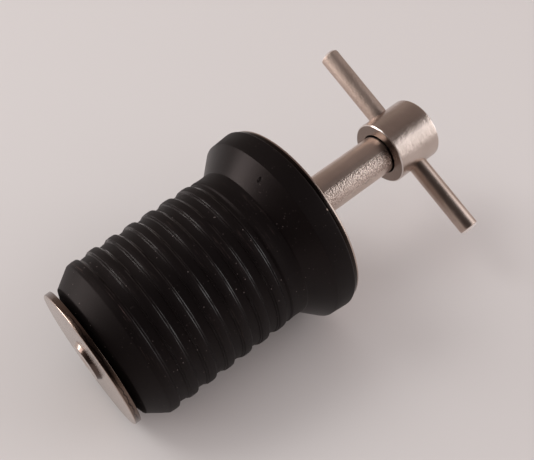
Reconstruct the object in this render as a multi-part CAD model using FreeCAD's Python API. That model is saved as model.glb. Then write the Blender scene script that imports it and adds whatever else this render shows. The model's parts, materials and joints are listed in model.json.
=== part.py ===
import FreeCAD, Part
import os
from math import acos, atan2, cos, degrees, hypot, pi, sin, sqrt

# An expansion plug for a one-inch drain tube, as it lies on a table, in millimetres.
#
# A ribbed rubber plug sits between two thin steel washers on a threaded spindle.
# A tee handle is pinned to the spindle's upper end and bears, through a loose sleeve,
# on the upper washer. The rubber keeps a nut on the lower washer from turning, so
# turning the handle clockwise draws the lower washer up and squeezes the rubber wide.
#
# Each piece is first drawn upright, about the Z axis: zero is the outer face of the
# clamping washer, and heights grow towards the handle. The plug is then laid on its side.

# Rubber plug, with heights from its small end
BODY_RADIUS = 12.7
SMALL_END_STEP = 2.0
SMALL_END_ROUND = 1.1
LEAD_IN_LENGTH = 3.7
FIRST_GROOVE = 6.25
GROOVE_PITCH = 3.2
GROOVE_COUNT = 7
GROOVE_DEPTH = 0.5
GROOVE_WIDTH = 2.0
NECK_STEP = 0.1
NECK_SAG = 0.12
NECK_LENGTH = 3.15
FLANGE_CONE_LENGTH = 3.1
FLANGE_STEP = 2.9
RIM_LENGTH = 3.3
RIM_ROUND = 0.35
BORE_CLEARANCE = 0.4
POCKET_CLEARANCE = 0.3
REST_FLAT_WIDTH = 4.0

# Washers, stamped from one thickness of sheet
WASHER_THICKNESS = 1.0
WASHER_EDGE_BREAK = 0.12
WASHER_HOLE_CLEARANCE = 0.15
CLAMP_WASHER_OVERHANG = 0.25
TOP_WASHER_INSET = 0.15

# Threaded spindle, its foot riveted over so that the clamping washer can't come off
SPINDLE_RADIUS = 2.5
SPINDLE_TIP_CHAMFER = 0.4
RIVET_LIP = 0.75
RIVET_HEIGHT = 0.6
DIMPLE_RADIUS = 0.55
DIMPLE_DEPTH = 0.16

# Nut on the clamping washer
NUT_ACROSS_FLATS = 8.0
NUT_HEIGHT = 4.0
NUT_CORNER_BREAK = 0.4
THREAD_CLEARANCE = 0.05

# Loose sleeve between the upper washer and the hub
SLEEVE_WALL = 0.7
SLEEVE_LENGTH = 19.55
SLEEVE_END_ROUND = 0.6
SLEEVE_BORE_CLEARANCE = 0.1
THRUST_CLEARANCE = 0.05

# Handle: a turned hub, with a tee bar pressed across it and through the spindle
HUB_RADIUS = 5.35
HUB_LENGTH = 8.6
HUB_LOWER_CHAMFER = 0.2
HUB_UPPER_ROUND = 0.5
HUB_CAP = 1.0
SEAT_DEPTH = 0.3
SEAT_CLEARANCE = 0.2
TEE_BAR_RADIUS = 1.6
TEE_BAR_HALF_LENGTH = 18.75
TEE_BAR_CHAMFER = 0.35
TEE_BAR_OFFSET = 4.4
TEE_BAR_RISE_DEG = 25.6
CROSS_HOLE_BREAK = 0.25
SNUG = 0.02

# Radii that follow from the sizes above
SMALL_END_RADIUS = BODY_RADIUS - SMALL_END_STEP
NECK_RADIUS = BODY_RADIUS - NECK_STEP
FLANGE_RADIUS = BODY_RADIUS + FLANGE_STEP
CLAMP_WASHER_RADIUS = SMALL_END_RADIUS + CLAMP_WASHER_OVERHANG
TOP_WASHER_RADIUS = FLANGE_RADIUS - TOP_WASHER_INSET
RIVET_RADIUS = SPINDLE_RADIUS + RIVET_LIP
SLEEVE_RADIUS = SPINDLE_RADIUS + SLEEVE_BORE_CLEARANCE + SLEEVE_WALL

# Heights along the axis, from the clamping washer to the top of the hub
RUBBER_FOOT = WASHER_THICKNESS
LAND_START = RUBBER_FOOT + LEAD_IN_LENGTH
GROOVES = [RUBBER_FOOT + FIRST_GROOVE + i * GROOVE_PITCH for i in range(GROOVE_COUNT)]
NECK_END = GROOVES[-1] + NECK_LENGTH
FLANGE_CORNER = NECK_END + FLANGE_CONE_LENGTH
RUBBER_TOP = FLANGE_CORNER + RIM_LENGTH
SLEEVE_FOOT = RUBBER_TOP + WASHER_THICKNESS
SLEEVE_TOP = SLEEVE_FOOT + SLEEVE_LENGTH
SEAT_FLOOR = SLEEVE_TOP + THRUST_CLEARANCE
HUB_FOOT = SEAT_FLOOR - SEAT_DEPTH
HUB_TOP = HUB_FOOT + HUB_LENGTH
SPINDLE_TOP = HUB_TOP - HUB_CAP - SNUG
TEE_BAR_HEIGHT = HUB_FOOT + TEE_BAR_OFFSET

# On a table the plug touches with the first corner of its body and with its rim. The rim
# is drafted to the same slope, so it lies flat there. The soft rubber is pressed a little
# flat at both places, which keeps the plug from rolling.
RIM_SLOPE = FLANGE_STEP / (FLANGE_CORNER - LAND_START)
REST_TILT = atan2(FLANGE_STEP, FLANGE_CORNER - LAND_START)
REST_FLAT_DEPTH = BODY_RADIUS - sqrt(BODY_RADIUS**2 - (REST_FLAT_WIDTH / 2) ** 2)
FOOT_HEIGHT = BODY_RADIUS * cos(REST_TILT) - LAND_START * sin(REST_TILT) - REST_FLAT_DEPTH

# Small rounds are drawn as this many flats, and a cutting shape stands this far out
ROUND_FLATS = 1
CUTTER_OVERRUN = 1.0

ORIGIN = FreeCAD.Vector(0, 0, 0)
ACROSS = FreeCAD.Vector(0, 1, 0)
UP = FreeCAD.Vector(0, 0, 1)


class Outline:
    """Half a section, drawn corner by corner as radius and height, then turned to a solid."""

    def __init__(self, radius, height):
        self.pen = FreeCAD.Vector(radius, 0, height)
        self.start = self.pen
        self.edges = []

    def line(self, radius, height):
        end = FreeCAD.Vector(radius, 0, height)
        self.edges.append(Part.LineSegment(self.pen, end).toShape())
        self.pen = end

    def round_off(self, centre, end_angle):
        """A small round about a centre, in flats. Angle zero points away from the axis."""
        start = self.pen - FreeCAD.Vector(centre[0], 0, centre[1])
        start_angle = atan2(start.z, start.x)
        for i in range(1, ROUND_FLATS + 1):
            angle = start_angle + (end_angle - start_angle) * i / ROUND_FLATS
            self.line(centre[0] + start.Length * cos(angle), centre[1] + start.Length * sin(angle))

    def turned(self):
        self.line(self.start.x, self.start.z)
        return Part.Face(Part.Wire(self.edges)).revolve(ORIGIN, UP, 360)


def disc_washer(radius, rubber_face, outward):
    """A stamped flat washer. The punch has rolled the edge of its outward face."""
    hole = SPINDLE_RADIUS + WASHER_HOLE_CLEARANCE
    outer_face = rubber_face + outward * WASHER_THICKNESS
    outline = Outline(hole, rubber_face)
    outline.line(radius, rubber_face)
    outline.line(radius, outer_face - outward * WASHER_EDGE_BREAK)
    outline.line(radius - WASHER_EDGE_BREAK, outer_face)
    outline.line(hole, outer_face)
    return outline.turned()


def hexagonal_prism(across_flats, foot, height):
    corner_radius = across_flats / sqrt(3)
    corners = [
        FreeCAD.Vector(corner_radius * cos(i * pi / 3), corner_radius * sin(i * pi / 3), foot)
        for i in range(6)
    ]
    return Part.Face(Part.makePolygon(corners + corners[:1])).extrude(UP * height)


def draw_lead_in(outline):
    """The rounded small end and the cone that leads the plug into the tube."""
    centre = (SMALL_END_RADIUS - SMALL_END_ROUND, RUBBER_FOOT + SMALL_END_ROUND)
    outline.line(centre[0], RUBBER_FOOT)
    out = BODY_RADIUS - centre[0]
    along = LAND_START - centre[1]
    outline.round_off(centre, atan2(along, out) - acos(SMALL_END_ROUND / hypot(out, along)))
    outline.line(BODY_RADIUS, LAND_START)


def draw_groove(outline, height, next_radius):
    """A crease between two sloping shoulders, up to the land of radius next_radius."""
    outline.line(BODY_RADIUS, height - GROOVE_WIDTH / 2)
    outline.line(BODY_RADIUS - GROOVE_DEPTH, height)
    outline.line(next_radius, height + GROOVE_WIDTH / 2)


def draw_flange(outline):
    """The slightly waisted neck, the cone under the flange and its drafted rim."""
    outline.line(NECK_RADIUS - NECK_SAG, (outline.pen.z + NECK_END) / 2)
    outline.line(NECK_RADIUS, NECK_END)
    outline.line(FLANGE_RADIUS, FLANGE_CORNER)
    rim_end = RUBBER_TOP - RIM_ROUND
    outline.line(FLANGE_RADIUS + (rim_end - FLANGE_CORNER) * RIM_SLOPE, rim_end)
    outline.round_off((outline.pen.x - RIM_ROUND, rim_end), pi / 2)


def make_rubber_plug():
    bore = SPINDLE_RADIUS + BORE_CLEARANCE
    outline = Outline(bore, RUBBER_FOOT)
    draw_lead_in(outline)
    for height in GROOVES[:-1]:
        draw_groove(outline, height, BODY_RADIUS)
    draw_groove(outline, GROOVES[-1], NECK_RADIUS)
    draw_flange(outline)
    outline.line(bore, RUBBER_TOP)
    pocket_width = NUT_ACROSS_FLATS + 2 * POCKET_CLEARANCE
    pocket = hexagonal_prism(pocket_width, RUBBER_FOOT, NUT_HEIGHT + POCKET_CLEARANCE)
    return outline.turned().cut(pocket).Solids[0]


def make_spindle():
    """A straight spindle: riveted dome with a punched centre below, cross hole above."""
    dome_radius = (RIVET_RADIUS**2 + RIVET_HEIGHT**2) / (2 * RIVET_HEIGHT)
    dome_centre = (0, dome_radius - RIVET_HEIGHT)
    dimple_rim = dome_centre[1] - sqrt(dome_radius**2 - DIMPLE_RADIUS**2)
    outline = Outline(0, dimple_rim + DIMPLE_DEPTH)
    outline.line(DIMPLE_RADIUS, dimple_rim)
    outline.round_off(dome_centre, atan2(-dome_centre[1], RIVET_RADIUS))
    outline.line(SPINDLE_RADIUS, 0)
    outline.line(SPINDLE_RADIUS, SPINDLE_TOP - SPINDLE_TIP_CHAMFER)
    outline.line(SPINDLE_RADIUS - SPINDLE_TIP_CHAMFER, SPINDLE_TOP)
    outline.line(0, SPINDLE_TOP)
    return outline.turned().cut(cross_bar(TEE_BAR_RADIUS + SNUG, HUB_RADIUS)).Solids[0]


def make_clamp_nut():
    """A six-sided nut whose corners are cut back by a cone at its upper face."""
    foot = WASHER_THICKNESS
    top = foot + NUT_HEIGHT
    corner_radius = NUT_ACROSS_FLATS / sqrt(3)
    outline = Outline(SPINDLE_RADIUS + THREAD_CLEARANCE, foot)
    outline.line(corner_radius, foot)
    outline.line(corner_radius, top - NUT_CORNER_BREAK)
    outline.line(NUT_ACROSS_FLATS / 2, top)
    outline.line(SPINDLE_RADIUS + THREAD_CLEARANCE, top)
    return outline.turned().common(hexagonal_prism(NUT_ACROSS_FLATS, foot, NUT_HEIGHT)).Solids[0]


def make_spacer_sleeve():
    """A plain tube with rounded outer edges, loose on the spindle."""
    bore = SPINDLE_RADIUS + SLEEVE_BORE_CLEARANCE
    shoulder = SLEEVE_RADIUS - SLEEVE_END_ROUND
    outline = Outline(bore, SLEEVE_FOOT)
    outline.line(shoulder, SLEEVE_FOOT)
    outline.round_off((shoulder, SLEEVE_FOOT + SLEEVE_END_ROUND), 0)
    outline.line(SLEEVE_RADIUS, SLEEVE_TOP - SLEEVE_END_ROUND)
    outline.round_off((shoulder, SLEEVE_TOP - SLEEVE_END_ROUND), pi / 2)
    outline.line(bore, SLEEVE_TOP)
    return outline.turned()


def cross_bar(radius, half_length):
    """A plain round bar across the handle, at the height and turn of the tee bar."""
    bar = Part.makeCylinder(radius, 2 * half_length, UP * -half_length)
    return laid_across(bar)


def laid_across(shape):
    """Turn a shape drawn about Z into the line of the tee bar."""
    shape.rotate(ORIGIN, FreeCAD.Vector(1, 0, 0), -90)
    shape.rotate(ORIGIN, UP, TEE_BAR_RISE_DEG)
    shape.translate(UP * TEE_BAR_HEIGHT)
    return shape


def make_handle_hub():
    """A turned collar: shallow seat for the sleeve, blind bore, countersunk cross hole."""
    bore = SPINDLE_RADIUS + SNUG
    seat = SLEEVE_RADIUS + SEAT_CLEARANCE
    outline = Outline(seat, HUB_FOOT)
    outline.line(HUB_RADIUS - HUB_LOWER_CHAMFER, HUB_FOOT)
    outline.line(HUB_RADIUS, HUB_FOOT + HUB_LOWER_CHAMFER)
    outline.line(HUB_RADIUS, HUB_TOP - HUB_UPPER_ROUND)
    outline.round_off((HUB_RADIUS - HUB_UPPER_ROUND, HUB_TOP - HUB_UPPER_ROUND), pi / 2)
    outline.line(0, HUB_TOP)
    outline.line(0, HUB_TOP - HUB_CAP)
    outline.line(bore, HUB_TOP - HUB_CAP)
    outline.line(bore, SEAT_FLOOR)
    outline.line(seat, SEAT_FLOOR)
    hub = outline.turned()
    hole = TEE_BAR_RADIUS + SNUG
    depth = CROSS_HOLE_BREAK + CUTTER_OVERRUN
    mouths = []
    for turn in (0, 180):
        mouth = Part.makeCone(hole, hole + depth, depth, UP * (HUB_RADIUS - CROSS_HOLE_BREAK))
        mouth.rotate(ORIGIN, ACROSS, turn)
        mouths.append(laid_across(mouth))
    drill = cross_bar(hole, HUB_RADIUS + CUTTER_OVERRUN)
    return hub.cut([drill] + mouths).Solids[0]


def make_tee_bar():
    """A straight round bar with both ends chamfered, pushed through to stand out evenly."""
    end = TEE_BAR_HALF_LENGTH
    outline = Outline(0, -end)
    outline.line(TEE_BAR_RADIUS - TEE_BAR_CHAMFER, -end)
    outline.line(TEE_BAR_RADIUS, -end + TEE_BAR_CHAMFER)
    outline.line(TEE_BAR_RADIUS, end - TEE_BAR_CHAMFER)
    outline.line(TEE_BAR_RADIUS - TEE_BAR_CHAMFER, end)
    outline.line(0, end)
    return laid_across(outline.turned())


def lay_down(pieces):
    """Lay the upright plug on its side, with its footprint centred on the origin."""
    for shape in pieces.values():
        shape.rotate(ORIGIN, ACROSS, 90 - degrees(REST_TILT))
        shape.translate(UP * FOOT_HEIGHT)
    table_top = Part.makePlane(2 * HUB_TOP, 2 * HUB_TOP, FreeCAD.Vector(-HUB_TOP, -HUB_TOP, 0))
    table = table_top.extrude(UP * -BODY_RADIUS)
    pieces["rubber_plug"] = pieces["rubber_plug"].cut(table).Solids[0]
    box = Part.makeCompound(list(pieces.values())).optimalBoundingBox(False)
    shift = FreeCAD.Vector(-box.Center.x, -box.Center.y, 0)
    for shape in pieces.values():
        shape.translate(shift)
    return FreeCAD.Vector(shift.x, shift.y, FOOT_HEIGHT)


pieces = {
    "rubber_plug": make_rubber_plug(),
    "top_washer": disc_washer(TOP_WASHER_RADIUS, RUBBER_TOP, 1),
    "clamp_washer": disc_washer(CLAMP_WASHER_RADIUS, RUBBER_FOOT, -1),
    "clamp_nut": make_clamp_nut(),
    "spindle": make_spindle(),
    "spacer_sleeve": make_spacer_sleeve(),
    "handle_hub": make_handle_hub(),
    "tee_bar": make_tee_bar(),
}
axis_foot = lay_down(pieces)
axis_direction = FreeCAD.Vector(cos(REST_TILT), 0, sin(REST_TILT))

os.makedirs("parts", exist_ok=True)
for name, shape in pieces.items():
    shape.exportStep("parts/" + name + ".step")
    print(name, "valid", shape.isValid(), "solids", len(shape.Solids), "mm3", round(shape.Volume, 1))
print("axis foot", axis_foot, "axis direction", axis_direction)
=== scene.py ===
# %% [markdown]
# # A rubber expansion plug with a tee handle
#
# This plug closes a round drain tube. Its ribbed rubber body sits between two thin steel
# washers on a threaded spindle. Turning the tee handle clockwise draws the small washer up
# the thread, and the squeezed rubber swells against the tube.
#
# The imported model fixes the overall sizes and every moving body. What is finer than its
# solids, such as edges, steps and wear, is judged from the photo, and so are the colours and
# the light. Each visible piece is modelled again and rides on the body of the solid that it
# stands for. The nut is hidden and stays as the solid that it is.

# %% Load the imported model
import json
from math import asin, atan2, cos, hypot, pi, radians, sin, sqrt, tan

import bpy
from mathutils import Matrix, Vector


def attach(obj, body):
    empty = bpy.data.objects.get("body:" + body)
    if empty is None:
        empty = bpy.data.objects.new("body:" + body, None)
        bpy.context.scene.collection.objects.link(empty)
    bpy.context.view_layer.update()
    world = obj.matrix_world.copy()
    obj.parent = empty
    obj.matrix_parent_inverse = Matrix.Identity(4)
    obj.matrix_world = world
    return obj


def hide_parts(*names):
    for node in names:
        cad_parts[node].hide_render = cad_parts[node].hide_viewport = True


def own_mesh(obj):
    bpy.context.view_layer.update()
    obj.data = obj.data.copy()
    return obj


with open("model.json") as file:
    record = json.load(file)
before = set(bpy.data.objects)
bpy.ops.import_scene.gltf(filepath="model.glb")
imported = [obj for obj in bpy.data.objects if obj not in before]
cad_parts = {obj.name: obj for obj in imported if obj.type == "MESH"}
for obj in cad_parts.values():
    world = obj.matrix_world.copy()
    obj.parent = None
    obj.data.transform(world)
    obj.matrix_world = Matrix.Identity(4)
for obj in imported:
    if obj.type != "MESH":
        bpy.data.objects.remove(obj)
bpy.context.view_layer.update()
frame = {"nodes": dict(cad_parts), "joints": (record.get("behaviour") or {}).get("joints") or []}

MM = 0.001
bpy.ops.object.select_all(action="DESELECT")
print("nodes of the frame:", ", ".join(sorted(frame["nodes"])))

# %% [markdown]
# ## One upright drawing board
#
# The plug lies on its side, but it is a turned object, and a turned object is easiest to draw
# about an upright axis. So each piece is drawn standing on the origin, in millimetres, and
# then laid down by one matrix. The matrix comes from the handle's own hinge: its axis is the
# axis of the plug, and it sits at the height of the tee bar.

# %% The matrix that lays an upright piece down
TEE_BAR_HEIGHT = 60.7
TEE_BAR_RISE_DEG = 25.6

hinge = frame["joints"][0]
AXIS = -Vector(hinge["axis"]).normalized()
FOOT = Vector(hinge["pos_m"]) - AXIS * TEE_BAR_HEIGHT * MM
LEAN = pi / 2 - asin(AXIS.z)
LAY_DOWN = Matrix.Translation(FOOT) @ Matrix.Rotation(LEAN, 4, "Y")
STAND_UP = LAY_DOWN.inverted()
print("the axis starts at", [round(x / MM, 2) for x in FOOT], "mm and leans", round(LEAN, 3))


# %% Heights and radii read from the solids
def upright_size(node):
    """Greatest radius, lowest and highest point of a solid, stood up, in millimetres."""
    stood = [STAND_UP @ v.co / MM for v in frame["nodes"][node].data.vertices]
    heights = [p.z for p in stood]
    return max(hypot(p.x, p.y) for p in stood), min(heights), max(heights)


SIZES = {node: upright_size(node) for node in frame["nodes"]}
for node, size in SIZES.items():
    print(node, "radius", round(size[0], 2), "from", round(size[1], 2), "to", round(size[2], 2))


# %% [markdown]
# ## Turning a half section
#
# Washers, sleeve, hub, spindle and rubber are all turned or moulded about one axis. They could
# be built from cylinders, but then each groove and rounded edge is one more Boolean. Drawing
# half the section with a chain of extruded points and spinning it once gives every ring its
# exact radius, and the small edge rounds that catch the light cost nothing extra.


# %% Draw half a section
class Section:
    """Points of radius and height in millimetres, joined in drawing order."""

    def __init__(self, radius, height):
        self.points = [(radius, height)]

    def to(self, radius, height, steps=1):
        start = Vector(self.points[-1])
        end = Vector((radius, height))
        self.points += [tuple(start.lerp(end, i / steps)) for i in range(1, steps + 1)]

    def around(self, centre, end_angle, steps):
        """A round about a centre. Angle zero points away from the axis, and pi / 2 up."""
        start = self.points[-1]
        radius = hypot(start[0] - centre[0], start[1] - centre[1])
        begin = atan2(start[1] - centre[1], start[0] - centre[0])
        for i in range(1, steps + 1):
            angle = begin + (end_angle - begin) * i / steps
            self.points.append((centre[0] + radius * cos(angle), centre[1] + radius * sin(angle)))

    def corner(self, corner, rounding, following, steps=5):
        """Go to a corner and round it off towards the corner that follows."""
        corner = Vector(corner)
        arriving = (Vector(self.points[-1]) - corner).normalized()
        leaving = (Vector(following) - corner).normalized()
        half = arriving.angle(leaving) / 2
        first = corner + arriving * rounding / tan(half)
        last = corner + leaving * rounding / tan(half)
        centre = corner + (arriving + leaving).normalized() * rounding / sin(half)
        self.to(*first)
        begin = atan2(first.y - centre.y, first.x - centre.x)
        end = atan2(last.y - centre.y, last.x - centre.x)
        self.around(tuple(centre), begin + (end - begin + pi) % (2 * pi) - pi, steps)


# %% Spin it
WELD = 1e-6


def extruded_loop(points):
    """One vertex, extruded along the points of a section and back to the first."""
    bpy.ops.mesh.primitive_plane_add(size=MM, location=(0, 0, 0))
    bpy.ops.object.mode_set(mode="EDIT")
    bpy.ops.mesh.merge(type="CENTER")
    places = [Vector((radius * MM, 0, height * MM)) for radius, height in points]
    bpy.ops.transform.translate(value=places[0])
    for start, end in zip(places, places[1:] + places[:1]):
        bpy.ops.mesh.extrude_vertices_move(TRANSFORM_OT_translate={"value": end - start})
    bpy.ops.mesh.select_all(action="SELECT")
    bpy.ops.mesh.remove_doubles(threshold=WELD)
    return bpy.context.object


def turned(name, section, steps):
    """Spin a section once round the upright axis."""
    piece = extruded_loop(section.points)
    piece.name = name
    bpy.ops.mesh.select_all(action="SELECT")
    bpy.ops.mesh.spin(steps=steps, angle=2 * pi, center=(0, 0, 0), axis=(0, 0, 1))
    bpy.ops.mesh.select_all(action="SELECT")
    bpy.ops.mesh.remove_doubles(threshold=WELD)
    bpy.ops.mesh.normals_make_consistent(inside=False)
    bpy.ops.object.mode_set(mode="OBJECT")
    return piece


def pick(*pieces):
    """Select these pieces only. The first becomes the active one."""
    bpy.ops.object.select_all(action="DESELECT")
    for piece in pieces:
        piece.select_set(True)
    bpy.context.view_layer.objects.active = pieces[0]


def laid_down(piece, body, node, sharp_deg=35):
    """Lay an upright piece down, shade it, and let it ride where its solid rides."""
    pick(piece)
    piece.matrix_world = LAY_DOWN @ piece.matrix_world
    bpy.ops.object.transform_apply(location=True, rotation=True, scale=True)
    bpy.ops.object.shade_smooth_by_angle(angle=radians(sharp_deg))
    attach(piece, body)
    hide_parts(node)
    piece.data.materials.clear()
    print(piece.name, "has", len(piece.data.polygons), "faces and rides on", body)
    return piece


def modified(piece, kind, **settings):
    """Add a modifier to a piece, set it up and apply it."""
    pick(piece)
    modifier = piece.modifiers.new(kind.title(), kind)
    for setting, value in settings.items():
        setattr(modifier, setting, value)
    bpy.ops.object.modifier_apply(modifier=modifier.name)


# %% [markdown]
# ## The camera
#
# The camera comes first, because every later choice is judged through it. Its place was solved
# from the circles of the washers, the rims of the beads and the ends of the bar: it stands
# about 11 cm away and looks down at just over half a right angle, so the near end looks
# clearly larger than the far one.

# %% Place the camera
CAMERA_PLACE = Vector((-50.014, -60.780, 105.621)) * MM
CAMERA_SIGHT = Vector((0.421359, 0.509631, -0.750155))
CAMERA_LENS = 52.70
CAMERA_SENSOR = 36
CAMERA_REACH = 10

camera = bpy.data.objects.new("camera", bpy.data.cameras.new("camera"))
bpy.context.scene.collection.objects.link(camera)
camera.location = CAMERA_PLACE
camera.rotation_mode = "QUATERNION"
camera.rotation_quaternion = CAMERA_SIGHT.to_track_quat("-Z", "Y")
camera.data.lens = CAMERA_LENS
camera.data.sensor_width = CAMERA_SENSOR
camera.data.clip_start = 1 * MM
camera.data.clip_end = CAMERA_REACH
bpy.context.scene.camera = camera
bpy.context.scene.view_settings.view_transform = "Standard"
print("the camera is", round((CAMERA_PLACE - FOOT).length / MM), "mm from the small end")

# %% [markdown]
# ## The rubber plug
#
# The body is one moulding: a small end with a lip, a cone that leads it into the tube, beads
# that seal one by one, a slightly waisted neck, and a coned flange that stops it at the tube's
# mouth. The beads aren't plain ridges. All but the first rise from the land before them in two
# tiny steps, where the mould's rings meet, and each drops in one deeper step towards the handle.
# The rounded corners catch thin lines of light, so they are drawn and not left to a bump.

# %% Sizes of the moulding
BODY_RADIUS = 12.7
BODY_START = 4.7
SMALL_END_FLAT = 8.4
SMALL_END_DISH = (9.4, 1.65)
SMALL_END_LIP = (10.6, 2.05)
SMALL_END_ROUND = 0.3
LEAD_IN_TOP = (12.6, 4.85)
LEAD_IN_EDGE_ROUND = 0.5
BORE_RADIUS = 2.9

FIRST_DROP = 6.6
BEAD_PITCH = 3.2
BEAD_COUNT = 7
LAND_WIDTH = 1.35
LAND_START_RADIUS = 12.2
LAND_END_RADIUS = 12.35
TREAD_RADIUS = 12.5
TREAD_RISE = 0.01
SHOULDER_RADIUS = 12.64
RISER_RUN = 0.05
TREAD_RUN = 0.24
RISER_ROUND = 0.07
CREST_AFTER_STEP = 0.9
CREST_ROUND = 2.5
LIP_RADIUS = 12.67
LIP_RUN = 0.24
STEP_ROUND = 0.3

NECK_FLOOR_RADIUS = 12.3
NECK_FLOOR_WIDTH = 0.75
NECK_RADIUS = 12.6
NECK_SAG = 0.12
NECK_ROUND = 8
NECK_END = 29.6
NECK_FILLET = 0.2
FLANGE_CORNER = (15.6, 32.7)
FLANGE_EDGE_ROUND = 0.12
RIM_SLOPE = (FLANGE_CORNER[0] - BODY_RADIUS) / (FLANGE_CORNER[1] - BODY_START)
RIM_ROUND = 0.35

_, rubber_foot, rubber_top = SIZES["rubber_plug"]
drops = [FIRST_DROP + i * BEAD_PITCH for i in range(BEAD_COUNT)]
print("the beads end at", [round(drop, 1) for drop in drops])


# %% Corners of the beads
def drop_at(end, floor_radius):
    """The lip of a bead and the foot of its drop, each with its rounding."""
    return [(LIP_RADIUS, end - LIP_RUN, STEP_ROUND), (floor_radius, end, STEP_ROUND)]


def bead(end, floor_radius):
    """Corners of one bead, which rises in two steps from the land before it."""
    start = end - BEAD_PITCH + LAND_WIDTH
    return [
        (LAND_END_RADIUS, start, RISER_ROUND),
        (TREAD_RADIUS - TREAD_RISE, start + RISER_RUN, RISER_ROUND),
        (TREAD_RADIUS, start + RISER_RUN + TREAD_RUN, RISER_ROUND),
        (SHOULDER_RADIUS, start + 2 * RISER_RUN + TREAD_RUN, RISER_ROUND),
        (BODY_RADIUS, start + CREST_AFTER_STEP, CREST_ROUND),
        *drop_at(end, floor_radius),
    ]


corners = [
    (*SMALL_END_DISH, SMALL_END_ROUND),
    (*SMALL_END_LIP, SMALL_END_ROUND),
    (*LEAD_IN_TOP, LEAD_IN_EDGE_ROUND),
    (BODY_RADIUS, FIRST_DROP - CREST_AFTER_STEP, CREST_ROUND),
    *drop_at(FIRST_DROP, LAND_START_RADIUS),
]
for drop in drops[1:-1]:
    corners += bead(drop, LAND_START_RADIUS)
corners += bead(drops[-1], NECK_FLOOR_RADIUS)

# %% Corners of the neck and the flange
neck_step = drops[-1] + NECK_FLOOR_WIDTH
rim_radius = FLANGE_CORNER[0] + (rubber_top - FLANGE_CORNER[1]) * RIM_SLOPE
corners += [
    (NECK_FLOOR_RADIUS, neck_step, STEP_ROUND),
    (NECK_RADIUS - NECK_SAG / 2, neck_step + LIP_RUN, STEP_ROUND),
    (NECK_RADIUS - NECK_SAG, (neck_step + NECK_END) / 2, NECK_ROUND),
    (NECK_RADIUS, NECK_END, NECK_FILLET),
    (*FLANGE_CORNER, FLANGE_EDGE_ROUND),
    (rim_radius, rubber_top, RIM_ROUND),
    (BORE_RADIUS, rubber_top, 0),
]
print("the moulding has", len(corners), "corners")

# %% Draw the moulding and spin it
moulding = Section(BORE_RADIUS, rubber_foot)
moulding.to(SMALL_END_FLAT, rubber_foot, steps=8)
for (radius, height, rounding), following in zip(corners, corners[1:]):
    moulding.corner((radius, height), rounding, following[:2])
moulding.to(BORE_RADIUS, rubber_top, steps=8)
rubber = turned("rubber_body", moulding, steps=224)
print("the half section has", len(moulding.points), "points")

# %% [markdown]
# The nut under the washer is held in a six-sided pocket, which a Boolean cuts from the small
# end. A six-sided cylinder is the cutter: it is as wide across its flats as the pocket. The
# pocket is deeper than the nut is high, because the squashed rubber's pocket gets shallower
# and the nut doesn't.

# %% Cut the pocket for the nut
POCKET_ACROSS = 8.6
POCKET_DEPTH = 4.9
POCKET_SIDES = 6
CUTTER_OVERRUN = 1.0
bpy.ops.mesh.primitive_cylinder_add(
    vertices=POCKET_SIDES,
    radius=POCKET_ACROSS / sqrt(3) * MM,
    depth=(POCKET_DEPTH + CUTTER_OVERRUN) * MM,
    location=(0, 0, (rubber_foot + (POCKET_DEPTH - CUTTER_OVERRUN) / 2) * MM),
    rotation=(0, 0, pi / POCKET_SIDES),
)
cutter = bpy.context.object
modified(rubber, "BOOLEAN", operation="DIFFERENCE", object=cutter, solver="EXACT")
bpy.data.objects.remove(cutter)
print("the rubber has", len(rubber.data.polygons), "faces with its pocket")

# %% [markdown]
# Soft rubber settles where it bears. The plug rests on its first bead and on its rim, and at
# both places it is pressed a little flat: what would lie below the floor is flattened onto it.

# %% Lay it down and press it flat where it rests
rubber = laid_down(rubber, "plug", "rubber_plug", sharp_deg=50)
for vertex in rubber.data.vertices:
    vertex.select = vertex.co.z < 0
for chain in (rubber.data.edges, rubber.data.polygons):
    for part in chain:
        part.select = False
pressed = sum(vertex.select for vertex in rubber.data.vertices)
bpy.ops.object.mode_set(mode="EDIT")
bpy.ops.transform.resize(value=(1, 1, 0), center_override=(0, 0, 0))
bpy.ops.object.mode_set(mode="OBJECT")
print("points pressed flat:", pressed, "lowest", min(v.co.z for v in rubber.data.vertices))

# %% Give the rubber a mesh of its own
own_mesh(rubber)

# %% [markdown]
# ## The two washers
#
# Both are punched from one millimetre sheet. A punch rolls the edge of the face that it enters
# and leaves a sharper edge on the other, so the outward edge has the larger round.

# %% Punch the washers
WASHER_HOLE = 2.65
ROLLED_EDGE = 0.22
SHARP_EDGE = 0.05


def washer(name, node, outward):
    """A flat ring with a rolled edge on its outward face, drawn from the inner edge out."""
    radius, foot, top = SIZES[node]
    inner, outer = (foot, top) if outward > 0 else (top, foot)
    rolled = (radius - ROLLED_EDGE, outer - outward * ROLLED_EDGE)
    section = Section(WASHER_HOLE, inner)
    section.to(radius - SHARP_EDGE, inner, steps=10)
    section.around((radius - SHARP_EDGE, inner + outward * SHARP_EDGE), 0, steps=3)
    section.to(radius, rolled[1], steps=2)
    section.around(rolled, outward * pi / 2, steps=5)
    section.to(WASHER_HOLE + SHARP_EDGE, outer, steps=10)
    section.to(WASHER_HOLE, outer - outward * SHARP_EDGE)
    return turned(name, section, steps=192)


top_washer = washer("flange_washer", "top_washer", 1)
top_washer = laid_down(top_washer, "plug", "top_washer")
clamp_washer = washer("end_washer", "clamp_washer", -1)
clamp_washer = laid_down(clamp_washer, "clamp", "clamp_washer")

# %% [markdown]
# ## The spacer sleeve
#
# A plain length of tube with tumbled ends carries the hub's thrust to the upper washer. Its
# ends are well rounded, which shows as a dark band where it meets the hub.

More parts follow.
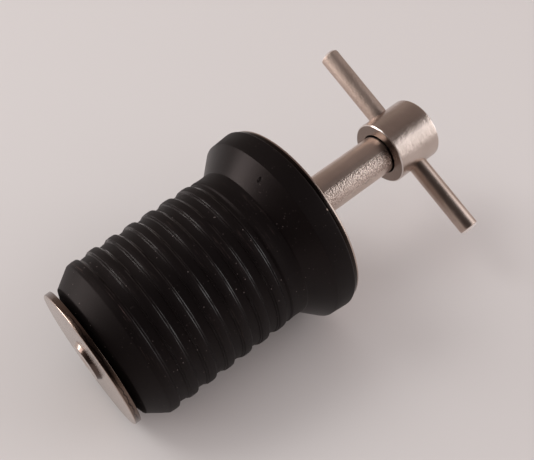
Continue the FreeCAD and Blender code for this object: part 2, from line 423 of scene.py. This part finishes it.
# %% Cut the sleeve
SLEEVE_BORE = 2.6
SLEEVE_END_ROUND = 0.6
radius, foot, top = SIZES["spacer_sleeve"]
shoulder = radius - SLEEVE_END_ROUND
tube = Section(SLEEVE_BORE, foot)
tube.to(shoulder, foot, steps=2)
tube.around((shoulder, foot + SLEEVE_END_ROUND), 0, steps=8)
tube.to(radius, top - SLEEVE_END_ROUND, steps=40)
tube.around((shoulder, top - SLEEVE_END_ROUND), pi / 2, steps=8)
tube.to(SLEEVE_BORE, top, steps=2)
sleeve = turned("spacer_tube", tube, steps=96)
sleeve = laid_down(sleeve, "plug", "spacer_sleeve", sharp_deg=45)

# %% [markdown]
# ## The hub
#
# The hub is a short turned collar. A shallow seat in its lower face takes the sleeve, and the
# cross hole for the bar has a small countersink at both mouths. The hole is cut with a
# Boolean, because a spun section can't have a hole in its side.

# %% Turn the hub
HUB_LOWER_CHAMFER = 0.2
HUB_UPPER_ROUND = 0.4
HUB_CAP = 1.0
HUB_BORE = 2.52
SEAT_RADIUS = 3.5
SEAT_DEPTH = 0.3
hub_radius, hub_foot, hub_top = SIZES["handle_hub"]
upper_round = (hub_radius - HUB_UPPER_ROUND, hub_top - HUB_UPPER_ROUND)
collar = Section(SEAT_RADIUS, hub_foot)
collar.to(hub_radius - HUB_LOWER_CHAMFER, hub_foot, steps=4)
collar.to(hub_radius, hub_foot + HUB_LOWER_CHAMFER, steps=2)
collar.to(hub_radius, upper_round[1], steps=14)
collar.around(upper_round, pi / 2, steps=6)
collar.to(0, hub_top, steps=8)
collar.to(0, hub_top - HUB_CAP)
collar.to(HUB_BORE, hub_top - HUB_CAP, steps=2)
collar.to(HUB_BORE, hub_foot + SEAT_DEPTH, steps=4)
collar.to(SEAT_RADIUS, hub_foot + SEAT_DEPTH, steps=2)
hub = turned("hub_collar", collar, steps=160)
print("the hub is", round(hub_top - hub_foot, 2), "mm long")

# %% Drill and countersink the cross hole
TEE_BAR_RADIUS = 1.6
CROSS_HOLE = 1.62
CROSS_HOLE_BREAK = 0.25
bar_turn = Matrix.Rotation(radians(TEE_BAR_RISE_DEG), 4, "Z") @ Matrix.Rotation(-pi / 2, 4, "X")
bar_place = Matrix.Translation((0, 0, TEE_BAR_HEIGHT * MM)) @ bar_turn
mouth = hub_radius + CUTTER_OVERRUN
mouth_radius = CROSS_HOLE + CROSS_HOLE_BREAK + CUTTER_OVERRUN
drill = Section(0, -mouth)
drill.to(mouth_radius, -mouth)
drill.to(CROSS_HOLE, -hub_radius + CROSS_HOLE_BREAK)
drill.to(CROSS_HOLE, hub_radius - CROSS_HOLE_BREAK)
drill.to(mouth_radius, mouth)
drill.to(0, mouth)
cutter = turned("drill", drill, steps=64)
cutter.matrix_world = bar_place
bpy.context.view_layer.update()
modified(hub, "BOOLEAN", operation="DIFFERENCE", object=cutter, solver="EXACT")
bpy.data.objects.remove(cutter)
hub = laid_down(hub, "handle", "handle_hub", sharp_deg=30)

# %% [markdown]
# ## The tee bar
#
# A straight length of drawn bar, pressed through the hub. Both ends are chamfered on the
# lathe, and the edge of the chamfer is slightly rounded, with a highlight painted along it.

# %% Turn the bar
TEE_BAR_HALF_LENGTH = 18.75
BAR_CHAMFER = 0.45
BAR_EDGE_ROUND = 0.3
tip = TEE_BAR_HALF_LENGTH
rod_corners = [
    (TEE_BAR_RADIUS - BAR_CHAMFER, -tip),
    (TEE_BAR_RADIUS, -tip + BAR_CHAMFER),
    (TEE_BAR_RADIUS, tip - BAR_CHAMFER),
    (TEE_BAR_RADIUS - BAR_CHAMFER, tip),
    (0, tip),
]
rod = Section(0, -tip)
for corner, following in zip(rod_corners, rod_corners[1:]):
    rod.corner(corner, BAR_EDGE_ROUND, following, steps=3)
rod.to(0, tip, steps=3)
bar = turned("cross_bar", rod, steps=96)
bar.matrix_world = bar_place
bar = laid_down(bar, "handle", "tee_bar", sharp_deg=30)

# %% [markdown]
# ## The spindle
#
# The spindle is threaded where the nut runs. A screw thread is a ridge on a plain core, so the
# core is spun and the ridge is one tooth carried up the axis by the Screw modifier. The foot
# is riveted over: a low button with a round edge and a punched centre, which keeps the washer
# on.

# %% Turn the core
THREAD_PITCH = 0.8
THREAD_FOOT = 0.2
THREAD_TOP = 13.0
THREAD_RUN_OUT = 0.3
CORE_RADIUS = 2.05
SPINDLE_RADIUS = 2.5
SPINDLE_TIP_CHAMFER = 0.4
RIVET_HEIGHT = 0.6
RIVET_CROWN = (1.5, -RIVET_HEIGHT)
RIVET_CROWN_ROUND = 2.0
RIVET_SHOULDER = (2.85, -0.56)
RIVET_SHOULDER_ROUND = 0.2
PUNCH_RIM = (1.15, -0.56)
PUNCH_RIM_ROUND = 0.12
PUNCH_FLOOR = (0.5, -0.2)
rivet_radius, _, spindle_top = SIZES["spindle"]
core = Section(0, PUNCH_FLOOR[1])
core.to(*PUNCH_FLOOR, steps=2)
core.corner(PUNCH_RIM, PUNCH_RIM_ROUND, RIVET_CROWN, steps=4)
core.corner(RIVET_CROWN, RIVET_CROWN_ROUND, RIVET_SHOULDER, steps=6)
core.corner(RIVET_SHOULDER, RIVET_SHOULDER_ROUND, (rivet_radius, 0), steps=8)
core.to(rivet_radius, 0)
core.to(SPINDLE_RADIUS, 0)
core.to(CORE_RADIUS, THREAD_FOOT)
core.to(CORE_RADIUS, THREAD_TOP)
core.to(SPINDLE_RADIUS, THREAD_TOP + THREAD_RUN_OUT)
core.to(SPINDLE_RADIUS, spindle_top - SPINDLE_TIP_CHAMFER)
core.to(SPINDLE_RADIUS - SPINDLE_TIP_CHAMFER, spindle_top)
core.to(0, spindle_top)
spindle = turned("spindle_core", core, steps=96)
print("the spindle is", round(spindle_top + RIVET_HEIGHT, 2), "mm long")

# %% Cut the thread
RIDGE_STEPS = 32
RIDGE_ROOT = CORE_RADIUS - 0.1
RIDGE_CREST = SPINDLE_RADIUS - 0.02
TOOTH_CORNERS = [
    (CORE_RADIUS, 0.05),
    (RIDGE_CREST, 0.33),
    (RIDGE_CREST, 0.43),
    (CORE_RADIUS, 0.71),
    (RIDGE_ROOT, 0.76),
]
ridge_turns = int((THREAD_TOP - THREAD_FOOT) / THREAD_PITCH) - 1
tooth = Section(RIDGE_ROOT, THREAD_FOOT)
for radius, rise in TOOTH_CORNERS:
    tooth.to(radius, THREAD_FOOT + rise)
ridge = extruded_loop(tooth.points)
bpy.ops.object.mode_set(mode="OBJECT")
modified(
    ridge, "SCREW", axis="Z", screw_offset=THREAD_PITCH * MM, iterations=ridge_turns,
    steps=RIDGE_STEPS, render_steps=RIDGE_STEPS, use_merge_vertices=False,
)
bpy.ops.object.mode_set(mode="EDIT")
bpy.ops.mesh.select_all(action="DESELECT")
bpy.ops.mesh.select_non_manifold(extend=False)
bpy.ops.mesh.edge_face_add()
bpy.ops.mesh.select_all(action="SELECT")
bpy.ops.mesh.normals_make_consistent(inside=False)
bpy.ops.object.mode_set(mode="OBJECT")
print("the thread has", ridge_turns, "turns and", len(ridge.data.polygons), "faces")

# %% Join the two
pick(spindle, ridge)
bpy.ops.object.join()
spindle = laid_down(spindle, "handle", "spindle", sharp_deg=35)

# %% [markdown]
# ## Writing a finish as arithmetic
#
# A finish is a small program on the surface: a mask times a mask, one minus something. Wired
# by hand it becomes a cloud of Math nodes, so a small class wraps a socket, and Python's own
# operators add the nodes. Any other node comes from one method.


# %% Sockets that can be added and multiplied
class Wire:
    """An output socket. Arithmetic on it adds Math nodes to its material."""

    def __init__(self, finish, socket):
        self.finish = finish
        self.socket = socket

    def math(self, operation, *others):
        return self.finish.add("ShaderNodeMath", {"operation": operation}, (self, *others))

    def __add__(self, other):
        return self.math("ADD", other)

    def __sub__(self, other):
        return self.math("SUBTRACT", other)

    def __rsub__(self, other):
        return self.finish.add("ShaderNodeMath", {"operation": "SUBTRACT"}, (other, self))

    def __mul__(self, other):
        return self.math("MULTIPLY", other)

    def __truediv__(self, other):
        return self.math("DIVIDE", other)

    __radd__ = __add__
    __rmul__ = __mul__

    def over(self, low, high):
        """0 below low, 1 above high and a smooth step between."""
        return self.finish.add(
            "ShaderNodeMapRange", {"interpolation_type": "SMOOTHSTEP"}, (self, low, high, 0.0, 1.0)
        )

    def under(self, low, high):
        """1 below low, 0 above high and a smooth step between."""
        return 1 - self.over(low, high)

    def between(self, low, high, soft):
        """1 from low to high, fading out over a soft edge beyond each."""
        return self.over(low - soft, low) * self.under(high, high + soft)


# %% Materials in the plug's own coordinates
SPECK_PICK = 0.01


class Finish:
    """A Principled material in the plug's own coordinates: upright, in millimetres."""

    def __init__(self, name, **constants):
        self.material = bpy.data.materials.new(name)
        self.material.use_nodes = True
        self.nodes = self.material.node_tree.nodes
        self.links = self.material.node_tree.links
        self.shader = self.nodes["Principled BSDF"]
        self.set(**constants)
        place = self.add("ShaderNodeTexCoord", {}, (), "Object")
        upright = {"Vector": place, "Location": FOOT, "Rotation": (0, LEAN, 0), "Scale": [MM] * 3}
        self.point = self.add("ShaderNodeMapping", {"vector_type": "TEXTURE"}, upright)
        self.x, self.y, self.height = (
            self.add("ShaderNodeSeparateXYZ", {}, (self.point,), axis) for axis in "XYZ"
        )
        self.radius = (self.x * self.x + self.y * self.y).math("SQRT")
        self.angle = self.y.math("ARCTAN2", self.x)

    def add(self, kind, settings, sockets, output=0):
        """Add a node: its settings, then a value or a wire for its sockets."""
        node = self.nodes.new(kind)
        for setting, value in settings.items():
            setattr(node, setting, value)
        named = sockets if isinstance(sockets, dict) else dict(enumerate(sockets))
        for socket, value in named.items():
            self.feed(node.inputs[socket], value)
        return Wire(self, node.outputs[output])

    def feed(self, socket, value):
        if isinstance(value, Wire):
            self.links.new(value.socket, socket)
        else:
            socket.default_value = value

    def set(self, **sockets):
        """Give the shader's sockets a value, or a wire where they change over the surface."""
        for socket, value in sockets.items():
            self.feed(self.shader.inputs[socket.replace("_", " ")], value)

    def mix(self, share, first, second):
        """Two colours, mixed by a share."""
        sockets = {0: share, 6: first, 7: second}
        return self.add("ShaderNodeMix", {"data_type": "RGBA"}, sockets, 2)

    def noise(self, vector, scale, detail=2.0, rough=0.5):
        sockets = {"Vector": vector, "Scale": scale, "Detail": detail, "Roughness": rough}
        return self.add("ShaderNodeTexNoise", {}, sockets)

    def cells(self, vector, scale, output):
        sockets = {"Vector": vector, "Scale": scale}
        return self.add("ShaderNodeTexVoronoi", {"feature": "F1"}, sockets, output)

    def joined(self, x, y, z):
        return self.add("ShaderNodeCombineXYZ", {}, (x, y, z))

    def specks(self, scale, size, share):
        """Round specks, on a share of the cells."""
        kind = self.cells(self.point, scale, "Color")
        kind = self.add("ShaderNodeSeparateColor", {}, (kind,), "Red")
        chosen = kind.over(1 - share, 1 - share + SPECK_PICK)
        return self.cells(self.point, scale, "Distance").under(size / 2, size) * chosen

    def spot(self, height, angle, along, around):
        """An oval spot: how far it reaches along the axis and round it, in millimetres."""
        up = (self.height - height) / along
        across = (self.angle - angle) * self.radius / around
        return (up * up + across * across).math("SQRT").under(0.5, 1.0)

    def bump(self, height, depth, normal=None):
        """Relief of so many millimetres, on top of an earlier one."""
        sockets = {"Strength": 1.0, "Distance": depth * MM, "Height": height}
        if normal:
            sockets["Normal"] = normal
        return self.add("ShaderNodeBump", {}, sockets)


# %% [markdown]
# ## Rubber
#
# Moulded black rubber is nearly black, a shade warm, and never quite clean. The crests of the
# beads rub in the tube and turn matt. The corners of the steps never touch it and keep the
# gloss of the mould, which is why thin lines of light run along them. Fine dust settles in
# patches and shows as pale specks.

# %% Black rubber, glossy in the corners of its steps
DROP_GLOSS = (-0.12, 0.3)
RISE_GLOSS = (0.17, 0.26)
GLOSS_FADE = 0.06
GLOSS_GROWS = (7.0, 10.0)
DIM_GLOSS = 0.4
LIT_SIDE = (-9.5, -3.0)
f = Finish(
    "black_rubber", Specular_IOR_Level=0.16, Specular_Tint=(1.0, 0.82, 0.8, 1),
    Coat_Roughness=0.2, Coat_IOR=1.5,
)


def step_corners(first, zone):
    """1 in the rounded corners of the steps: every bead has one at the same place."""
    middle, reach = zone
    away = ((f.height - (first + middle)) / BEAD_PITCH).math("PINGPONG", 0.5) * BEAD_PITCH
    return away.under(reach - GLOSS_FADE, reach)


on_beads = f.height.between(FIRST_DROP - CREST_AFTER_STEP, drops[-1] + STEP_ROUND, soft=0.1)
at_drops = step_corners(FIRST_DROP, DROP_GLOSS)
at_drops = at_drops * f.height.over(*GLOSS_GROWS).math("MAXIMUM", DIM_GLOSS)
at_rises = step_corners(FIRST_DROP + LAND_WIDTH, RISE_GLOSS) * DIM_GLOSS
breaks = f.noise(f.joined(f.angle * 4.0, f.height * 2.5, 0.0), scale=1.0, detail=3.0, rough=0.6)
glossy = at_drops.math("MAXIMUM", at_rises) * on_beads * f.x.under(*LIT_SIDE)
f.set(Coat_Weight=glossy * breaks.over(0.35, 0.6))

# %% Scuffs and dust on the rubber
BLACK = (0.0022, 0.0016, 0.0017, 1)
BLACK_FADED = (0.0046, 0.0034, 0.0035, 1)
SCUFF = (0.08, 0.055, 0.05, 1)
FINE_DUST = (0.035, 0.028, 0.027, 1)
DUST = (0.15, 0.125, 0.12, 1)
FIRST_BEAD_BAND = (5.2, 7.0)
RUB_FROM, RUB_TO = (12.3, 12.66), (12.72, 12.8)
DUST_ENDS = (26.0, 34.0)
cloud = f.noise(f.point, scale=0.12, detail=4.0)
first_bead = f.height.between(*FIRST_BEAD_BAND, soft=0.2)
first_bead = first_bead * f.x.under(-9.0, -6.0) * f.y.over(-7.5, -5.5)
around = f.joined(f.angle * 3.0, f.height * 5.0, f.radius)
streaks = f.noise(around, scale=1.0, detail=3.0, rough=0.7).over(0.56, 0.75)
crests = streaks * f.radius.over(*RUB_FROM) * f.radius.under(*RUB_TO)
scuffs = crests * cloud.over(0.45, 0.6).math("MAXIMUM", first_bead)
rubbed = f.mix(cloud, BLACK, BLACK_FADED)
rubbed = f.mix(scuffs * (0.35 + first_bead * 0.5), rubbed, SCUFF)
fine_dust = f.specks(2.2, size=0.2, share=0.3) * f.noise(f.point, scale=0.3).over(0.4, 0.6)
rubbed = f.mix(fine_dust, rubbed, FINE_DUST)
dust = f.specks(1.3, size=0.14, share=0.3) * f.noise(f.point, scale=0.25).over(0.4, 0.5)
dust = dust * f.height.under(*DUST_ENDS)
dusty = f.mix(dust * 0.8, rubbed, DUST)

# %% One pit, one nick, and the relief of the rubber
PIT_SPOT = (31.45, -3.05, 0.42, 0.3)
NICK_SPOT = (35.95, -2.44, 0.3, 0.25)
PIT = (0.002, 0.0015, 0.0015, 1)
NICK = (0.3, 0.24, 0.2, 1)
pit = f.spot(*PIT_SPOT) * f.noise(f.point, scale=3.0).over(0.35, 0.45)
f.set(Base_Color=f.mix(f.spot(*NICK_SPOT), f.mix(pit, dusty, PIT), NICK))
smooth = f.height.between(NECK_END, FLANGE_CORNER[1] - 0.1, soft=0.2)
shaded_end = f.height.under(2.0, 2.2)
f.set(Roughness=0.5 + cloud * 0.1 - smooth * 0.21 + shaded_end * 0.4 + pit * 0.5)
grain = f.bump(f.noise(f.point, scale=4.0, detail=4.0, rough=0.65), depth=0.012)
f.set(Normal=f.bump(dust * 0.5 - pit * 2.0, depth=0.05, normal=grain))
rubber.data.materials.append(f.material)
print("rubber has", len(f.nodes), "nodes")

# %% [markdown]
# ## Steel
#
# All the metal is stainless steel, but it was finished in different ways, and that is what
# tells the pieces apart: sheet keeps a dull mill face, the hub shows fine turning rings, the bar
# was drawn and half polished, and the tube came out of a tumbling drum with a grain.

# %% One steel, several finishes
STEEL = (0.60, 0.51, 0.46, 1)
# A pale colour painted on edges as a highlight.
EDGE_HIGHLIGHT = (0.95, 0.9, 0.87, 1)


def steel(name, tint, base=STEEL):
    """A stainless steel whose colour drifts a little over the piece."""
    made = Finish(name, Metallic=1.0)
    cloud = made.noise(made.point, scale=0.25, detail=3.0)
    made.colour = made.mix(cloud.over(0.3, 0.75), base, tint)
    made.set(Base_Color=made.colour)
    return made


# %% Sheet steel of the washers, with painted shade on both rims and a torn line on the small one's sheared rim
SHEARED_RIM_SHADE = (0.15, 0.11, 0.09, 1)
RIM_IN_SHADE = (0.03, 0.024, 0.021, 1)
TORN = (0.05, 0.035, 0.03, 1)
RIM_SKIN = 0.02
f = steel("mill_sheet", (0.42, 0.34, 0.295, 1), base=(0.50, 0.415, 0.365, 1))


def on_rim(radius):
    """1 on the edge of a washer of this radius, and 0 on its faces."""
    return f.radius.over(radius - 2 * RIM_SKIN, radius - RIM_SKIN)


rolled = f.noise(f.joined(f.x * 0.2, f.y * 3.0, f.height * 3.0), scale=1.5, detail=3.0)
drawn_out = f.joined(f.x * 0.4, f.y * 14.0, f.height * 2.0)
scratches = f.noise(drawn_out, scale=1.0, detail=3.0, rough=0.75).over(0.55, 0.8)
f.set(Roughness=0.16 + rolled * 0.12 - scratches * 0.06)
f.set(Normal=f.bump(rolled + scratches * 0.6, depth=0.006))
# Painted dark reflection on the small washer's rim; the upper washer's rim gets painted shade.
sheared_rim_in_shade = on_rim(SIZES["clamp_washer"][0]) * f.height.under(rubber_foot, rubber_foot + 1)
top_radius, _, top_face = SIZES["top_washer"]
in_shade = on_rim(top_radius) * f.height.under(top_face - 0.36, top_face - 0.3)
edge = f.mix(in_shade, f.mix(sheared_rim_in_shade, f.colour, SHEARED_RIM_SHADE), RIM_IN_SHADE)
torn = (f.height - f.noise(f.point, scale=0.9, detail=3.0)).math("ABSOLUTE").under(0.05, 0.12)
torn = torn * sheared_rim_in_shade * f.y.under(-1.0, 3.0)
f.set(Base_Color=f.mix(torn, edge, TORN))
for piece in (top_washer, clamp_washer):
    piece.data.materials.append(f.material)

# %% Turned steel of the hub, with painted shade on its end face and in its seat, and painted highlights on its edges
HUB_FACE_SHADE = (0.27, 0.21, 0.18, 1)
SEAT_SHADE = (0.01, 0.008, 0.007, 1)
f = steel("turned_steel", (0.54, 0.46, 0.41, 1))
lathe = f.joined(f.angle * 0.3, f.height * 10.0, f.radius * 10.0)
rings = f.noise(lathe, scale=1.0, detail=4.0, rough=0.7)
# Painted shade on the lower end face of the hub.
shaded_end_face = f.height.under(hub_foot + 0.02, hub_foot + 0.06)
in_seat = f.radius.under(SEAT_RADIUS + 0.02, SEAT_RADIUS + 0.06)
# Painted shade, nearly black, in the seat where the sleeve enters the hub.
shaded_seat = in_seat * f.height.under(hub_foot + 0.4, hub_foot + 0.5)
chamfer = f.height.between(hub_foot + 0.06, hub_foot + 0.16, soft=0.04)
# Painted highlights on the upper edge, and at half strength on the lower chamfer.
upper_edge = f.height.over(hub_top - 0.36, hub_top - 0.3)
upper_edge = upper_edge * f.radius.over(hub_radius - 0.4, hub_radius - 0.3)
edge_highlight = upper_edge.math("MAXIMUM", chamfer * 0.5)
shade = f.mix(shaded_end_face, f.colour, HUB_FACE_SHADE)
f.set(Base_Color=f.mix(shaded_seat, f.mix(edge_highlight, shade, EDGE_HIGHLIGHT), SEAT_SHADE))
mottle = f.noise(f.point, scale=1.6, detail=3.0, rough=0.7)
f.set(Roughness=0.2 + rings * 0.1 + shaded_seat * 0.5)
f.set(Normal=f.bump(rings + mottle * 3.0, depth=0.015))
hub.data.materials.append(f.material)

# %% Drawn steel of the bar, duller and uneven on its upper arm, with painted highlights at its tips
f = steel("drawn_steel", (0.50, 0.40, 0.345, 1), base=(0.60, 0.49, 0.43, 1))
rise = radians(TEE_BAR_RISE_DEG)
along = f.y * cos(rise) - f.x * sin(rise)
aside = f.x * cos(rise) + f.y * sin(rise)
lengthwise = f.joined(along * 0.12, aside * 5.0, f.height * 5.0)
drawn = f.noise(lengthwise, scale=1.0, detail=4.0, rough=0.7)
crosswise = f.joined(along * 2.5, aside * 1.5, f.height * 1.5)
nicks = f.noise(crosswise, scale=1.0).over(0.62, 0.7)
upper_arm = along.over(4.0, 7.0)
f.set(Roughness=0.31 + drawn * 0.1 + nicks * 0.1 + upper_arm * 0.18)
uneven = f.noise(f.point, scale=2.5, rough=0.7) * upper_arm
f.set(Normal=f.bump(drawn + nicks * 0.5 + uneven * 8.0, depth=0.01))
aloft = f.height - TEE_BAR_HEIGHT
# Painted highlight on the edge of the chamfer at each tip.
tip_highlight = along.math("ABSOLUTE").over(TEE_BAR_HALF_LENGTH - 0.4, TEE_BAR_HALF_LENGTH - 0.3)
tip_highlight = tip_highlight * (aside * aside + aloft * aloft).over(1.0, 1.2)
f.set(Base_Color=f.mix(tip_highlight, f.colour, EDGE_HIGHLIGHT))
bar.data.materials.append(f.material)

# %% Tumbled steel of the sleeve, pitted on one side
HOLLOW = (0.22, 0.15, 0.12, 1)
f = steel("tumbled_steel", (0.60, 0.50, 0.445, 1), base=(0.68, 0.575, 0.515, 1))
pits = f.noise(f.point, scale=3.2, rough=0.7)
pitted_side = f.angle.over(-2.75, -2.45) * f.angle.under(-1.9, -1.5)
hollows = pitted_side * pits.under(0.42, 0.52)
f.set(Base_Color=f.mix(hollows * 0.45, f.colour, HOLLOW))
f.set(Roughness=0.26 + pits * 0.1 - pitted_side * 0.06)
f.set(Normal=f.bump(pits * (0.12 + pitted_side), depth=0.13))
sleeve.data.materials.append(f.material)

# %% Riveted and threaded steel of the spindle, with painted shade on one side of the rivet's edge, and its nut
RIVET_EDGE_SHADE = (0.09, 0.065, 0.055, 1)
f = steel("threaded_steel", (0.50, 0.42, 0.37, 1))
dents = f.noise(f.point, scale=1.2, detail=3.0)
f.set(Roughness=0.12 + dents * 0.12, Normal=f.bump(dents, depth=0.03))
# Painted dark reflection on the near side of the rivet's edge.
shaded_rivet_edge = f.height.under(0, 0.01) * f.radius.over(2.8, 2.9) * f.y.under(0.2, 1.2)
f.set(Base_Color=f.mix(shaded_rivet_edge, f.colour, RIVET_EDGE_SHADE))
spindle.data.materials.append(f.material)
nut = frame["nodes"]["clamp_nut"]
nut.data.materials.clear()
nut.data.materials.append(f.material)
print("finishes made:", ", ".join(sorted(m.name for m in bpy.data.materials if m.users)))

# %% [markdown]
# ## Floor and light
#
# The floor is a plain pale sheet. A large soft lamp stands high on the left and a little behind
# the plug, so the shadow falls softly to the viewer's right. Polished steel mostly shows the room:
# above it is a dim warm brown, and two low pale sources, one to the left and one to the right,
# give the flange its sheen and the hub its bright side. A weak panel overhead fills the floor
# and is kept out of the steel.

# %% Floor
FLOOR_SIZE = 12.0
FLOOR_COLOUR = (0.63, 0.612, 0.607, 1)
FLOOR_ROUGHNESS = 0.7
FLOOR_SPECULAR = 0.2
bpy.ops.mesh.primitive_plane_add(size=FLOOR_SIZE, location=(0, 0, 0))
floor = bpy.context.object
floor.name = "floor"
floor_material = bpy.data.materials.new("pale_floor")
floor_material.use_nodes = True
floor_shader = floor_material.node_tree.nodes["Principled BSDF"]
floor_shader.inputs["Base Color"].default_value = FLOOR_COLOUR
floor_shader.inputs["Roughness"].default_value = FLOOR_ROUGHNESS
floor_shader.inputs["Specular IOR Level"].default_value = FLOOR_SPECULAR
floor.data.materials.append(floor_material)


# %% Light
def soft_lamp(name, azimuth, elevation, distance, size, radiance, colour):
    """A rectangular lamp that faces the plug: angles in degrees, lengths in metres."""
    lamp = bpy.data.objects.new(name, bpy.data.lights.new(name, "AREA"))
    bpy.context.scene.collection.objects.link(lamp)
    level = cos(radians(elevation)) * distance
    turn = radians(azimuth)
    lamp.location = (level * cos(turn), level * sin(turn), sin(radians(elevation)) * distance)
    lamp.rotation_mode = "QUATERNION"
    lamp.rotation_quaternion = (-lamp.location).to_track_quat("-Z", "Y")
    lamp.data.shape = "RECTANGLE"
    lamp.data.size, lamp.data.size_y = size
    lamp.data.energy = radiance * pi * size[0] * size[1]
    lamp.data.color = colour
    return lamp


soft_lamp(
    "window", azimuth=132, elevation=48, distance=0.75,
    size=(0.30, 0.28), radiance=5.0, colour=(1.0, 0.97, 0.95),
)
soft_lamp(
    "low_left", azimuth=138, elevation=10, distance=0.80,
    size=(0.38, 0.24), radiance=9.0, colour=(1.0, 0.95, 0.93),
)
soft_lamp(
    "low_right", azimuth=-38, elevation=24, distance=0.70,
    size=(0.50, 0.60), radiance=1.6, colour=(0.98, 1.0, 1.03),
)
panel = soft_lamp(
    "ceiling", azimuth=130, elevation=66, distance=0.50,
    size=(0.60, 0.60), radiance=0.35, colour=(0.7, 1.0, 1.05),
)
panel.visible_glossy = False

# %% [markdown]
# The room reaches the floor and the steel in different ways. Its even light fills the shadow.
# Its mirror image is darker: brown overhead, paler near the horizon, and nearly black round the
# camera, where whoever holds it stands in the light. A Light Path node keeps the two apart.

# %% Room
ROOM_LIGHT = (0.66, 0.565, 0.545, 1)
ROOM_OVERHEAD = (0.21, 0.165, 0.15, 1)
ROOM_HORIZON = (0.34, 0.28, 0.25, 1)
ROOM_CAMERA_SIDE = (0.015, 0.011, 0.010, 1)
HORIZON_TO_OVERHEAD = (0.35, 0.8)
ROOM_TO_CAMERA = (0.45, 0.8)
world = bpy.data.worlds.new("room")
bpy.context.scene.world = world
world.use_nodes = True
room = world.node_tree


def room_node(kind, settings, sockets):
    """A node of the room's shader, its sockets given by value or by another node's output."""
    node = room.nodes.new(kind)
    for setting, value in settings.items():
        setattr(node, setting, value)
    for socket, value in sockets.items():
        if isinstance(value, bpy.types.NodeSocket):
            room.links.new(value, node.inputs[socket])
        else:
            node.inputs[socket].default_value = value
    return node


def room_mix(share, first, second):
    """Two colours of the room, mixed by a share."""
    node = room_node("ShaderNodeMix", {"data_type": "RGBA"}, {0: share, 6: first, 7: second})
    return node.outputs[2]


def room_step(value, low, high):
    """0 below low, 1 above high and a smooth step between."""
    settings = {"interpolation_type": "SMOOTHSTEP"}
    return room_node("ShaderNodeMapRange", settings, {0: value, 1: low, 2: high}).outputs[0]


sight = room_node("ShaderNodeTexCoord", {}, {}).outputs["Generated"]
upwards = room_node("ShaderNodeSeparateXYZ", {}, {0: sight}).outputs["Z"]
to_camera = {0: sight, 1: -CAMERA_SIGHT}
nearness = room_node("ShaderNodeVectorMath", {"operation": "DOT_PRODUCT"}, to_camera)
overhead = room_step(upwards, *HORIZON_TO_OVERHEAD)
camera_side = room_step(nearness.outputs["Value"], *ROOM_TO_CAMERA)
mirrored = room_mix(overhead, ROOM_HORIZON, ROOM_OVERHEAD)
mirrored = room_mix(camera_side, mirrored, ROOM_CAMERA_SIDE)
glossy_ray = room_node("ShaderNodeLightPath", {}, {}).outputs["Is Glossy Ray"]
background = room.nodes["Background"]
room.links.new(room_mix(glossy_ray, ROOM_LIGHT, mirrored), background.inputs["Color"])
print("the room has", len(room.nodes), "nodes")
